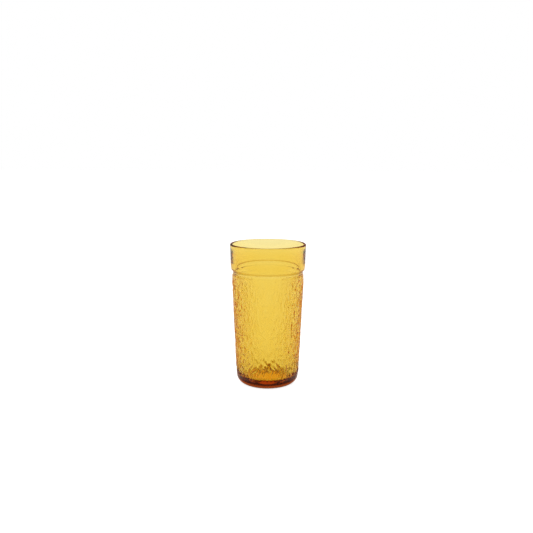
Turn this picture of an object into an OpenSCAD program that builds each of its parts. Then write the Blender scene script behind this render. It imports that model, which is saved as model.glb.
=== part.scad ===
// Pressed glass tumbler: a plain rim band over a tapered body with a rounded
// heel and a thick floor. It is one piece of amber glass, pressed in one shot.
// Units are millimetres, +Z is up, and the origin is at the middle of the
// underside, on the plane that the glass stands on.

/* [Overall] */
// Height from the table to the top of the lip
tumbler_h = 143; // [125:1:165]
// Outside diameter across the lip
rim_d = 76.2; // [74:0.2:82]

/* [Lip and rim band] */
// Radius of the rounded lip, which is half the glass thickness there
lip_r = 1.4; // [1.2:0.1:1.7]
// How far the lip stands out past the band below it
lip_swell = 0.25; // [0.1:0.05:0.5]
// Height from the neck groove to the top of the lip
band_h = 29; // [24:0.5:36]
// How much the outer radius of the band shrinks from the lip to the shoulder
band_draft = 0.4; // [0.1:0.1:0.8]
// Height of the sloping shoulder that ends the band
shoulder_h = 8.5; // [6:0.5:12]
// How far the shoulder slopes in over that height
shoulder_in = 1; // [0.6:0.1:1.5]

/* [Neck groove] */
// Radius of the round groove between the band and the body
groove_r = 4.2; // [1.5:0.1:5]
// How deep the groove is cut below the body's own surface
groove_depth = 0.75; // [0.2:0.05:1]

/* [Body] */
// Outside diameter of the body just under the groove, at mid relief
body_top_d = 71.6; // [69:0.2:73]
// Outside diameter of the body where it runs into the heel
body_low_d = 62.6; // [58:0.2:66]
// Radius of the rounded heel
heel_r = 9.3; // [7:0.1:11]

/* [Wall and floor] */
// Height of the flared mouth, from the middle of the lip down to the bore
mouth_h = 20; // [12:0.5:26]
// Glass thickness of the body at the neck, measured beside the groove
neck_wall = 3.3; // [2.8:0.1:4]
// Glass thickness of the body at the height of the floor corner
low_wall = 4.5; // [3.4:0.1:5.5]
// Glass thickness of the floor at its edge, from the table to the inside
floor_t = 9.2; // [7:0.1:14]
// Radius of the inside corner between the wall and the floor
corner_r = 4.2; // [3:0.1:10]

/* [Underside] */
// Width of the flat ring that the glass stands on
rest_ring_w = 4; // [2.5:0.5:6]
// Depth of the shallow hollow inside that ring
punt_depth = 3; // [0.8:0.1:3.5]

/* [Hidden] */
$fn = 180;
amber = [0.86, 0.58, 0.1, 0.55];
// How far a cut runs past the glass that it opens
overrun = 1;

// Heights, from the table up
lip_z = tumbler_h - lip_r;
neck_z = tumbler_h - band_h;
shoulder_z = neck_z + shoulder_h;
mouth_z = lip_z - mouth_h;
corner_z = floor_t + corner_r;

// Outside radii
rim_r = rim_d / 2;
band_top_r = rim_r - lip_swell;
band_low_r = band_top_r - band_draft;
shoulder_foot_r = band_low_r - shoulder_in;
body_top_r = body_top_d / 2;
body_low_r = body_low_d / 2;
neck_r = body_top_r - groove_depth;

// Outside taper of the body, and the centre of the heel that is tangent to it
body_taper = atan((body_top_r - body_low_r) / (neck_z - heel_r));
heel_x = body_low_r - heel_r / cos(body_taper);

// Bore radii, each one its wall inside the outer surface. The wall at the neck is
// measured from the narrower of the two surfaces that meet there.
lip_bore_r = rim_r - 2 * lip_r;
neck_bore_r = min(body_top_r, shoulder_foot_r) - neck_wall;
corner_bore_r = body_low_r + (corner_z - heel_r) * tan(body_taper) - low_wall;

// Taper of the bore, its radius where the mouth flares out, and the centre of the
// inside corner that is tangent to it
bore_taper = atan((neck_bore_r - corner_bore_r) / (neck_z - corner_z));
mouth_foot_r = neck_bore_r + (mouth_z - neck_z) * tan(bore_taper);
corner_x = corner_bore_r - corner_r / cos(bore_taper);

// The hollow underside is a cap of a large sphere, as wide as the ring leaves it
punt_r = heel_x - rest_ring_w;
punt_sphere_r = (pow(punt_r, 2) + pow(punt_depth, 2)) / (2 * punt_depth);

// Point where a straight wall leaves a corner circle that is tangent to it
function tangent_point(x, z, r, taper) = [x + r * cos(taper), z - r * sin(taper)];

// Half section of the rim band, with its rounded lip and sloping shoulder
module band_outside() {
    translate([rim_r - lip_r, lip_z])
        circle(r = lip_r);
    polygon([
        [0, neck_z],
        [shoulder_foot_r, neck_z],
        [band_low_r, shoulder_z],
        [band_top_r, lip_z],
        [0, lip_z]
    ]);
}

// Half section of the tapered body, with its rounded heel
module body_outside() {
    translate([heel_x, heel_r])
        circle(r = heel_r);
    polygon([
        [0, 0],
        [heel_x, 0],
        tangent_point(heel_x, heel_r, heel_r, body_taper),
        [body_top_r, neck_z],
        [0, neck_z]
    ]);
}

// Half section of the space inside, from the floor up past the lip
module bore() {
    translate([corner_x, corner_z])
        circle(r = corner_r);
    polygon([
        [0, floor_t],
        [corner_x, floor_t],
        tangent_point(corner_x, corner_z, corner_r, bore_taper),
        [mouth_foot_r, mouth_z],
        [lip_bore_r, lip_z],
        [lip_bore_r, tumbler_h + overrun],
        [0, tumbler_h + overrun]
    ]);
}

// Half section of the round groove at the neck
module neck_groove() {
    translate([neck_r + groove_r, neck_z])
        circle(r = groove_r);
}

// Half section of the shallow hollow in the underside
module punt() {
    translate([0, punt_depth - punt_sphere_r])
        circle(r = punt_sphere_r);
}

// The whole glass, turned from its half section
module tumbler() {
    color(amber)
        rotate_extrude()
            difference() {
                union() {
                    band_outside();
                    body_outside();
                }
                bore();
                neck_groove();
                punt();
            }
}

tumbler();
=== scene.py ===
"""The looks of a pressed amber glass tumbler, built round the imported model."""

import bpy
import numpy as np
from mathutils import Matrix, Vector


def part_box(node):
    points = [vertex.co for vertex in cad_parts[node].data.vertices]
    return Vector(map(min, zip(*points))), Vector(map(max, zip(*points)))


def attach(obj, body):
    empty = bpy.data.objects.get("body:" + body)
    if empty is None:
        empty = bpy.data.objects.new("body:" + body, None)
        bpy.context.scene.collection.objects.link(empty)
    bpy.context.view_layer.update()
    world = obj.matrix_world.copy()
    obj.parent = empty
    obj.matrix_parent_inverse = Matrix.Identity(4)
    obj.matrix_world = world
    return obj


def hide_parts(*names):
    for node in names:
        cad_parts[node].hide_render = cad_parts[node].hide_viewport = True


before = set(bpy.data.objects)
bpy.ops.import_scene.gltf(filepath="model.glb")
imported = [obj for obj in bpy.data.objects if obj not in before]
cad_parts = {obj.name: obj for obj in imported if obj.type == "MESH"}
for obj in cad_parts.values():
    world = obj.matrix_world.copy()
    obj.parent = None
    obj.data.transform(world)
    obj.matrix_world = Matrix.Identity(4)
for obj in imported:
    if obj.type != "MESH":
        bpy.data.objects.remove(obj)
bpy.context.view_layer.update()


# Camera
# The photograph is a square frame. The lens stands in front of the glass and
# higher than its lip, and looks slightly down at it.
frame_pixels = 533
focal_pixels = 703
sensor_width_mm = 36
near_clip = 0.01
camera_distance = 0.6949
camera_height = 0.2384
camera_left = 0.00145
camera_pitch = np.radians(9.70)
camera_roll = np.radians(0.3)

camera = bpy.data.objects.new("camera", bpy.data.cameras.new("camera"))
bpy.context.scene.collection.objects.link(camera)
bpy.context.scene.camera = camera
camera.data.sensor_width = sensor_width_mm
camera.data.lens = sensor_width_mm * focal_pixels / frame_pixels
camera.data.clip_start = near_clip
camera.matrix_world = (
    Matrix.Translation((-camera_left, -camera_distance, camera_height))
    @ Matrix.Rotation(np.pi / 2 - camera_pitch, 4, "X")
    @ Matrix.Rotation(camera_roll, 4, "Z")
)


# The tumbler
# One gob of amber glass, pressed in one shot and fire-polished. The mould gives
# the outside its plain rim band, its bark relief and its rounded heel, and the
# plunger gives the inside its smooth bore.
low_corner, high_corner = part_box("tumbler")
tumbler_h = high_corner.z - low_corner.z
rim_r = (high_corner.x - low_corner.x) / 2

# The rim band: its rounded lip, with the angles where its outer and inner arcs start, its
# straight side, which ends a little below the middle of the lip, and its sloping shoulder
lip_r = 0.0014
lip_swell = 0.00025
lip_outer_start_angle = -20
lip_inner_start_angle = 100
band_h = 0.029
band_draft = 0.0004
band_end_drop = 0.0012
shoulder_h = 0.0085
shoulder_in = 0.0010
shoulder_round_r = 0.0040

# The outside below the band: groove, body, heel and the hollow underside
groove_r = 0.0042
groove_depth = 0.00075
body_top_r = 0.0358
body_low_r = 0.0313
heel_r = 0.0093
rest_ring_w = 0.004
punt_depth = 0.0030

# The inside: flared mouth, bore and floor
mouth_h = 0.0200
mouth_round_r = 0.0300
neck_wall = 0.0033
low_wall = 0.0045
floor_t = 0.0092
corner_r = 0.0042

# Heights and outside radii that follow
neck_z = tumbler_h - band_h
shoulder_z = neck_z + shoulder_h
lip_z = tumbler_h - lip_r
mouth_z = lip_z - mouth_h
corner_z = floor_t + corner_r
band_top_r = rim_r - lip_swell
band_low_r = band_top_r - band_draft

# Points along each stretch of the half section, from the underside over the lip to the
# floor, and round the glass
punt_points = 9
heel_points = 15
body_points = 116
groove_points = 9
shoulder_points = 8
shoulder_round_points = 6
band_points = 5
lip_points = 9
lip_back_points = 7
mouth_points = 6
mouth_round_points = 7
bore_points = 18
corner_points = 9
floor_points = 4
segments = 436

# The relief: how deep it is pressed and the level of it that stays in place, the pitch and length
# of its furrows, the heights where it fades in and out, and its random draw with the rows to spare
relief_depth = 0.0010
mid_relief = 0.5
furrow_pitch = 0.0026
furrow_length = 0.0110
relief_low_z = 0.0095
relief_full_low_z = 0.0135
relief_full_high_z = 0.1040
relief_high_z = 0.1130
relief_seed = 7
spare_rows = 3

# The furrows' winding: broad bends and smaller crooks, each by its strength, its cells
# round the glass and the height of a cell, and the pitches that a furrow is shifted by
bend_share = 0.8
bend_cells = 24
bend_cell_h = 0.014
crook_share = 0.35
crook_cells = 60
crook_cell_h = 0.006
wind_pitches = 2

# The ridges: the noise at which one is full height, its share of the height, and the
# strength and fineness of the roughness on it
ridge_level = 0.28
ridge_share = 0.85
rough_share = 0.45
rough_fineness = 2

# The glass: how it bends light, and its colour along the light's way and at its surface
glass_ior = 1.51
depth_tint = (0.960, 0.842, 0.20, 1)
depth_tint_density = 250
surface_tint = (0.975, 0.91, 0.63, 1)

# The skin: polished, but worn on the foot below one height and outside the hollow, where its colour is also
# darkened with a painted shade
polished = 0.01
worn = 0.4
# A dark tint that paints shade on the foot, not a colour of the glass itself
painted_foot_shade_tint = (0.36, 0.42, 0.34, 1)
foot_wear_and_shade_z = 0.0090
foot_wear_and_shade_from_r = 0.014
foot_wear_and_shade_full_r = 0.020

# The ripple of the skin, drawn out along the height
ripple_pitch = 0.0030
ripple_stretch = 0.3
ripple_depth = 0.00004
ripple_detail = 1


def arc(centre, radius, start, end, count):
    """Points centre + radius (cos a, sin a), for a in even steps from start to end, in degrees."""
    a = np.radians(np.linspace(start, end, count))
    return np.stack([centre[0] + radius * np.cos(a), centre[1] + radius * np.sin(a)], 1)


def line(start, end, count):
    """Points start + t (end - start), for t in even steps from 0 to 1, without the first and last."""
    t = np.linspace(0, 1, count + 2)[1:-1, None]
    return np.array(start) * (1 - t) + np.array(end) * t


def outer_profile():
    """The half section from the middle of the underside to the lip, as (radius, height) points.

    Arcs for the hollow underside, heel, groove, shoulder and lip are joined by the straight
    tapers of the body and the band."""
    body_taper = np.arctan((body_top_r - body_low_r) / (neck_z - heel_r))
    heel_x = body_low_r - heel_r / np.cos(body_taper)
    punt_r = heel_x - rest_ring_w
    punt_sphere_r = (punt_r**2 + punt_depth**2) / (2 * punt_depth)
    punt_edge = 90 - np.degrees(np.arcsin(punt_r / punt_sphere_r))
    punt = arc((0, punt_depth - punt_sphere_r), punt_sphere_r, 90, punt_edge, punt_points)
    heel = arc((heel_x, heel_r), heel_r, -90, -np.degrees(body_taper), heel_points)
    groove_x = body_top_r - groove_depth + groove_r
    # The groove's arc ends where it meets the body below and the shoulder above
    low_end = 180 + np.degrees(np.arccos((groove_x - body_top_r) / groove_r))
    # The shoulder's cone is the line r cos(tilt) - (z - neck_z) sin(tilt) = reach
    tilt = np.arctan(shoulder_in / shoulder_h)
    reach = (band_low_r - shoulder_in) * np.cos(tilt)
    high_end = 180 - np.degrees(np.arccos((groove_x * np.cos(tilt) - reach) / groove_r) + tilt)
    groove = arc((groove_x, neck_z), groove_r, low_end, high_end, groove_points)
    round_z = shoulder_z + shoulder_round_r * np.tan(tilt / 2)
    round_centre = (band_low_r - shoulder_round_r, round_z)
    shoulder_round = arc(round_centre, shoulder_round_r, -np.degrees(tilt), 0, shoulder_round_points)
    shoulder = line(groove[-1], shoulder_round[0], shoulder_points)
    band = line(shoulder_round[-1], (band_top_r, lip_z - band_end_drop), band_points)
    lip = arc((rim_r - lip_r, lip_z), lip_r, lip_outer_start_angle, 90, lip_points)
    body = line(heel[-1], groove[0], body_points)
    return np.concatenate([punt, heel, body, groove, shoulder, shoulder_round, band, lip])


def inner_profile():
    """The half section from the lip down the inside to the middle of the floor, as (radius, height) points.

    The bore is a straight taper from the corner circle up to the foot of the mouth, where a
    large circle turns it, tangent to both, into the steeper taper that opens out to the lip."""
    lip_bore_r = rim_r - 2 * lip_r
    body_slope = (body_top_r - body_low_r) / (neck_z - heel_r)
    neck_bore_r = body_top_r - neck_wall
    corner_bore_r = body_low_r + (corner_z - heel_r) * body_slope - low_wall
    bore_taper = np.arctan((neck_bore_r - corner_bore_r) / (neck_z - corner_z))
    mouth_foot_r = neck_bore_r + (mouth_z - neck_z) * np.tan(bore_taper)
    mouth_taper = np.arctan((lip_bore_r - mouth_foot_r) / mouth_h)
    # The round touches each taper at this distance from the point where they cross
    reach = mouth_round_r * np.tan((mouth_taper - bore_taper) / 2)
    round_x = mouth_foot_r - reach * np.sin(bore_taper) + mouth_round_r * np.cos(bore_taper)
    round_z = mouth_z - reach * np.cos(bore_taper) - mouth_round_r * np.sin(bore_taper)
    round_start = 180 - np.degrees(mouth_taper)
    taper = np.degrees(bore_taper)
    corner_x = corner_bore_r - corner_r / np.cos(bore_taper)
    lip = arc((rim_r - lip_r, lip_z), lip_r, lip_inner_start_angle, 180, lip_back_points)
    mouth_round = arc((round_x, round_z), mouth_round_r, round_start, 180 - taper, mouth_round_points)
    corner = arc((corner_x, corner_z), corner_r, -taper, -90, corner_points)
    mouth = line(lip[-1], mouth_round[0], mouth_points)
    bore = line(mouth_round[-1], corner[0], bore_points)
    floor = line((corner_x, floor_t), (0, floor_t), floor_points)
    return np.concatenate([lip, mouth, mouth_round, bore, corner, floor, [(0, floor_t)]])


def bark_noise(turn, height, cells_round, cell_height, seed):
    """Smooth noise about 0 that closes on itself round the glass.

    Each corner of a grid of cells has a random gradient, and a point's value is the blend of its
    cell's four corners, each the dot product of its gradient with the way from it. The blend goes
    by 6 f^5 - 15 f^4 + 10 f^3, where f is the share of the way across the cell."""
    draw = np.random.default_rng(seed)
    u = turn * cells_round
    v = height / cell_height
    rows = int(np.ceil(v.max() - v.min())) + spare_rows
    angle = draw.uniform(0, 2 * np.pi, (rows, cells_round))
    v = v - np.floor(v.min())
    iu, iv = np.floor(u).astype(int), np.floor(v).astype(int)
    fu, fv = u - iu, v - iv
    su, sv = (f**3 * (f * (f * 6 - 15) + 10) for f in (fu, fv))

    def corner(du, dv):
        """The gradient of a cell's corner dotted with the way from that corner."""
        a = angle[iv + dv, (iu + du) % cells_round]
        return np.cos(a) * (fu - du) + np.sin(a) * (fv - dv)

    low = corner(0, 0) * (1 - su) + corner(1, 0) * su
    high = corner(0, 1) * (1 - su) + corner(1, 1) * su
    return low * (1 - sv) + high * sv


def bark_height(turn, height):
    """How high the bark stands, from 0 in a furrow to 1 on a ridge.

    The furrows are the lines where a stretched noise crosses zero. Two wider noises shift them
    sideways, so that they wind, meet and part, and a finer noise roughens the ridges. From a
    furrow the bark rises by a quarter of a sine wave of the noise to the full height of a ridge."""
    girth = 2 * np.pi * body_top_r
    wind = bend_share * bark_noise(turn, height, bend_cells, bend_cell_h, relief_seed)
    wind = wind + crook_share * bark_noise(turn, height, crook_cells, crook_cell_h, relief_seed + 1)
    wound = turn + wind * furrow_pitch / girth * wind_pitches
    cells = int(girth / furrow_pitch)
    ridges = bark_noise(wound, height, cells, furrow_length, relief_seed + 2)
    rough_cells = int(rough_fineness * girth / furrow_pitch)
    rough = bark_noise(wound, height, rough_cells, furrow_length / rough_fineness, relief_seed + 3)
    rise = np.clip(np.abs(ridges) / ridge_level, 0, 1)
    rise = np.sin(rise * np.pi / 2)
    return np.clip(rise * ridge_share + rough * rough_share, 0, 1)


def smooth_step(x, start, end):
    """0 before start, 1 after end, and 3 t^2 - 2 t^3 between them, where t is the share of the way."""
    t = np.clip((x - start) / (end - start), 0, 1)
    return t * t * (3 - 2 * t)


def tumbler_mesh():
    """The half section turned through a full circle, with the bark pressed into its outer wall.

    A point of the outside at turn t and height z moves along its radius by
    relief_depth (bark_height(t, z) - mid_relief), faded out towards the heel and the neck."""
    outside = outer_profile()
    section = np.concatenate([outside, inner_profile()])
    ring = section[1:-1]
    turn = np.arange(segments) / segments
    t, z = np.meshgrid(turn, ring[:, 1])
    r = np.repeat(ring[:, :1], segments, 1)
    fade_in = smooth_step(z, relief_low_z, relief_full_low_z)
    fade_out = smooth_step(z, relief_full_high_z, relief_high_z)
    is_outside = (np.arange(len(ring)) < len(outside) - 1)[:, None]
    bark = relief_depth * (bark_height(t, z) - mid_relief)
    r = r + np.where(is_outside, (fade_in - fade_out) * bark, 0)
    points = np.stack([r * np.cos(2 * np.pi * t), r * np.sin(2 * np.pi * t), z], -1).reshape(-1, 3)
    below = [(0, 0, section[0, 1])]
    above = [(0, 0, section[-1, 1])]
    points = np.concatenate([points, below, above])
    row, column = np.meshgrid(np.arange(len(ring) - 1), np.arange(segments), indexing="ij")
    near = row * segments + column
    after = row * segments + (column + 1) % segments
    quads = np.stack([near, after, after + segments, near + segments], -1).reshape(-1, 4)
    first = np.arange(segments)
    second = (first + 1) % segments
    last = (len(ring) - 1) * segments
    under = np.stack([second, first, np.full(segments, len(points) - 2)], 1)
    inside = np.stack([first + last, second + last, np.full(segments, len(points) - 1)], 1)
    mesh = bpy.data.meshes.new("tumbler_glass")
    mesh.from_pydata(points.tolist(), [], quads.tolist() + under.tolist() + inside.tolist())
    mesh.shade_smooth()
    return mesh


def ramp(nodes, links, value, from_min, from_max, to_min, to_max):
    """A Map Range node that goes smoothly from one level to another over a range of a value."""
    node = nodes.new("ShaderNodeMapRange")
    node.interpolation_type = "SMOOTHSTEP"
    links.new(value, node.inputs["Value"])
    node.inputs["From Min"].default_value = from_min
    node.inputs["From Max"].default_value = from_max
    node.inputs["To Min"].default_value = to_min
    node.inputs["To Max"].default_value = to_max
    return node.outputs["Result"]


def math_node(nodes, links, operation, first, second):
    """A maths node on two inputs, each a socket or a number."""
    node = nodes.new("ShaderNodeMath")
    node.operation = operation
    for socket, value in zip(node.inputs, (first, second)):
        if hasattr(value, "is_output"):
            links.new(value, socket)
        else:
            socket.default_value = value
    return node.outputs[0]


def mix_color(nodes, links, factor, first, second):
    """A colour mixed from one colour, or the socket of one, towards another by a factor from 0 to 1."""
    node = nodes.new("ShaderNodeMix")
    node.data_type = "RGBA"
    # Its sockets for numbers, vectors and colours share their names, so they go by number
    links.new(factor, node.inputs[0])
    if hasattr(first, "is_output"):
        links.new(first, node.inputs[6])
    else:
        node.inputs[6].default_value = first
    node.inputs[7].default_value = second
    return node.outputs[2]


def axis_distance(nodes, links, place):
    """How far a place is from the upright axis of the glass: the length of (x, y)."""
    flat = nodes.new("ShaderNodeMapping")
    flat.inputs["Scale"].default_value = (1, 1, 0)
    links.new(place, flat.inputs["Vector"])
    across = nodes.new("ShaderNodeVectorMath")
    across.operation = "LENGTH"
    links.new(flat.outputs["Vector"], across.inputs[0])
    return across.outputs["Value"]


def amber_glass():
    """Clear amber glass: it bends and reflects at its surface and takes out blue along the way through it.

    Its fire-polished skin takes a little colour too and has a faint upright ripple. Its foot is dulled by
    wear outside the hollow, and darkened there with a painted shade."""
    material = bpy.data.materials.new("amber_glass")
    material.use_nodes = True
    nodes, links = material.node_tree.nodes, material.node_tree.links
    shader = nodes["Principled BSDF"]
    shader.inputs["IOR"].default_value = glass_ior
    shader.inputs["Transmission Weight"].default_value = 1
    place = nodes.new("ShaderNodeTexCoord")
    axes = nodes.new("ShaderNodeSeparateXYZ")
    links.new(place.outputs["Object"], axes.inputs[0])
    low = ramp(nodes, links, axes.outputs["Z"], foot_wear_and_shade_z, 0, 0, 1)
    distance = axis_distance(nodes, links, place.outputs["Object"])
    outer = ramp(nodes, links, distance, foot_wear_and_shade_from_r, foot_wear_and_shade_full_r, 0, 1)
    foot_wear_and_shade = math_node(nodes, links, "MULTIPLY", low, outer)
    roughness = nodes.new("ShaderNodeMapRange")
    roughness.inputs["To Min"].default_value = polished
    roughness.inputs["To Max"].default_value = worn
    links.new(foot_wear_and_shade, roughness.inputs["Value"])
    links.new(roughness.outputs["Result"], shader.inputs["Roughness"])
    # The foot's darker colour is painted shade, laid on by the same mask as its wear
    links.new(mix_color(nodes, links, foot_wear_and_shade, surface_tint, painted_foot_shade_tint), shader.inputs["Base Color"])
    stretch = nodes.new("ShaderNodeMapping")
    stretch.inputs["Scale"].default_value = (1, 1, ripple_stretch)
    links.new(place.outputs["Object"], stretch.inputs["Vector"])
    ripple = nodes.new("ShaderNodeTexNoise")
    ripple.inputs["Scale"].default_value = 1 / ripple_pitch
    ripple.inputs["Detail"].default_value = ripple_detail
    links.new(stretch.outputs["Vector"], ripple.inputs["Vector"])
    bump = nodes.new("ShaderNodeBump")
    bump.inputs["Distance"].default_value = ripple_depth
    links.new(ripple.outputs["Fac"], bump.inputs["Height"])
    links.new(bump.outputs["Normal"], shader.inputs["Normal"])
    depth = nodes.new("ShaderNodeVolumeAbsorption")
    depth.inputs["Color"].default_value = depth_tint
    depth.inputs["Density"].default_value = depth_tint_density
    links.new(depth.outputs["Volume"], nodes["Material Output"].inputs["Volume"])
    return material


tumbler_glass = bpy.data.objects.new("tumbler_glass", tumbler_mesh())
bpy.context.scene.collection.objects.link(tumbler_glass)
tumbler_glass.data.materials.append(amber_glass())
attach(tumbler_glass, "root")
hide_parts("tumbler")


# The table
# A large matt white table top. A pool of amber light is painted on it round the glass's foot, in place of
# the light the glass would gather there, and shows only through the glass.
table_half = 6
table_grey = 0.55
table_roughness = 0.9

# The table's own light, as the camera sees it straight and through the glass
table_lift = 0.82
clear_lift = 0.49

# The painted pool of light: where it starts, where it is full, and its strength and colour
pool_r = 0.036
pool_full_r = 0.026
pool_gain = 0.8
pool_tint = (1, 0.68, 0.2, 1)


def table_mesh():
    """A flat square, with its middle under the glass."""
    sides = [(-1, -1), (1, -1), (1, 1), (-1, 1)]
    corners = [(x * table_half, y * table_half, low_corner.z) for x, y in sides]
    mesh = bpy.data.meshes.new("table")
    mesh.from_pydata(corners, [], [(0, 1, 2, 3)])
    return mesh


def white_table():
    """Matt white, with light of its own for the rays that the camera sends.

    Rays through the glass get less of it. Near the glass's foot they get more, in amber, as a painted pool
    of light: clear_lift (1 + pool_gain p), where p rises from 0 to 1 towards the middle of the pool."""
    material = bpy.data.materials.new("white_table")
    material.use_nodes = True
    nodes, links = material.node_tree.nodes, material.node_tree.links
    shader = nodes["Principled BSDF"]
    shader.inputs["Base Color"].default_value = (table_grey, table_grey, table_grey, 1)
    shader.inputs["Roughness"].default_value = table_roughness
    shader.inputs["Specular IOR Level"].default_value = 0
    path = nodes.new("ShaderNodeLightPath")
    place = nodes.new("ShaderNodeTexCoord")
    distance = axis_distance(nodes, links, place.outputs["Object"])
    # A painted pool of amber light round the glass's foot, seen only through the glass
    pool = ramp(nodes, links, distance, pool_r, pool_full_r, 0, 1)
    through = path.outputs["Is Transmission Ray"]
    clear = math_node(nodes, links, "MULTIPLY", through, clear_lift)
    gain = math_node(nodes, links, "ADD", math_node(nodes, links, "MULTIPLY", pool, pool_gain), 1)
    pooled = math_node(nodes, links, "MULTIPLY", clear, gain)
    direct = math_node(nodes, links, "MULTIPLY", path.outputs["Is Camera Ray"], table_lift)
    links.new(math_node(nodes, links, "ADD", direct, pooled), shader.inputs["Emission Strength"])
    pool_through = math_node(nodes, links, "MULTIPLY", pool, through)
    color = mix_color(nodes, links, pool_through, (1, 1, 1, 1), pool_tint)
    links.new(color, shader.inputs["Emission Color"])
    return material


table = bpy.data.objects.new("table", table_mesh())
bpy.context.scene.collection.objects.link(table)
table.data.materials.append(white_table())
# The glass mirrors the tent where the table is
table.visible_glossy = False


# The studio
# A white light tent, open towards the camera. The glass mirrors it in a warm grey,
# dim above the horizon, near the floor and on the open side. Light that the glass
# bends comes warm from above the horizon and dim from the roof.

# What the glass mirrors: its colour, and how much light is lost towards each side
mirror_tint = (0.7, 0.6, 0.5, 1)
open_side_loss = 0.85
open_side_full = -0.8
open_side_end = 0
foot_loss = 0.8
foot_full = -0.7
foot_end = -0.25
sky_loss = 0.8
sky_start = 0
sky_full = 0.15

# What the glass bends: the warm colour above the horizon, and the light lost at the roof
warm_tint = (0.8, 0.57, 0.22, 1)
warm_start = 0.05
warm_full = 0.3
roof_loss = 0.7
roof_start = 0.25
roof_full = 0.5

# How many times light may turn at a surface, and at a mirroring one
light_bounces = 24
mirror_bounces = 12


def light_tent():
    """The world: white for all but the rays that come from the glass.

    A ray that the glass mirrors loses the largest of three losses: to the open side by y, to the
    foot and to the sky by z, in the world's directions. A ray that it bends loses the roof's."""
    world = bpy.data.worlds.new("studio")
    world.use_nodes = True
    nodes, links = world.node_tree.nodes, world.node_tree.links
    background = nodes["Background"]
    way = nodes.new("ShaderNodeTexCoord")
    axes = nodes.new("ShaderNodeSeparateXYZ")
    links.new(way.outputs["Generated"], axes.inputs[0])
    along, up = axes.outputs["Y"], axes.outputs["Z"]
    path = nodes.new("ShaderNodeLightPath")
    glossy, through = path.outputs["Is Glossy Ray"], path.outputs["Is Transmission Ray"]
    from_glass = math_node(nodes, links, "MAXIMUM", glossy, through)
    mirrored = math_node(nodes, links, "MULTIPLY", path.outputs["Is Reflection Ray"], from_glass)
    bent = math_node(nodes, links, "SUBTRACT", from_glass, mirrored)
    open_side = ramp(nodes, links, along, open_side_full, open_side_end, open_side_loss, 0)
    foot = ramp(nodes, links, up, foot_full, foot_end, foot_loss, 0)
    sky = ramp(nodes, links, up, sky_start, sky_full, 0, sky_loss)
    loss = math_node(nodes, links, "MAXIMUM", open_side, math_node(nodes, links, "MAXIMUM", foot, sky))
    mirror_loss = math_node(nodes, links, "MULTIPLY", mirrored, loss)
    roof = ramp(nodes, links, up, roof_start, roof_full, 0, roof_loss)
    bent_loss = math_node(nodes, links, "MULTIPLY", bent, roof)
    total_loss = math_node(nodes, links, "ADD", mirror_loss, bent_loss)
    links.new(math_node(nodes, links, "SUBTRACT", 1, total_loss), background.inputs["Strength"])
    high = ramp(nodes, links, up, warm_start, warm_full, 0, 1)
    warm = math_node(nodes, links, "MULTIPLY", bent, high)
    mirror_color = mix_color(nodes, links, mirrored, (1, 1, 1, 1), mirror_tint)
    links.new(mix_color(nodes, links, warm, mirror_color, warm_tint), background.inputs["Color"])
    return world


bpy.context.scene.world = light_tent()
bpy.context.scene.view_settings.view_transform = "Standard"
bpy.context.scene.cycles.max_bounces = light_bounces
bpy.context.scene.cycles.transmission_bounces = light_bounces
bpy.context.scene.cycles.glossy_bounces = mirror_bounces
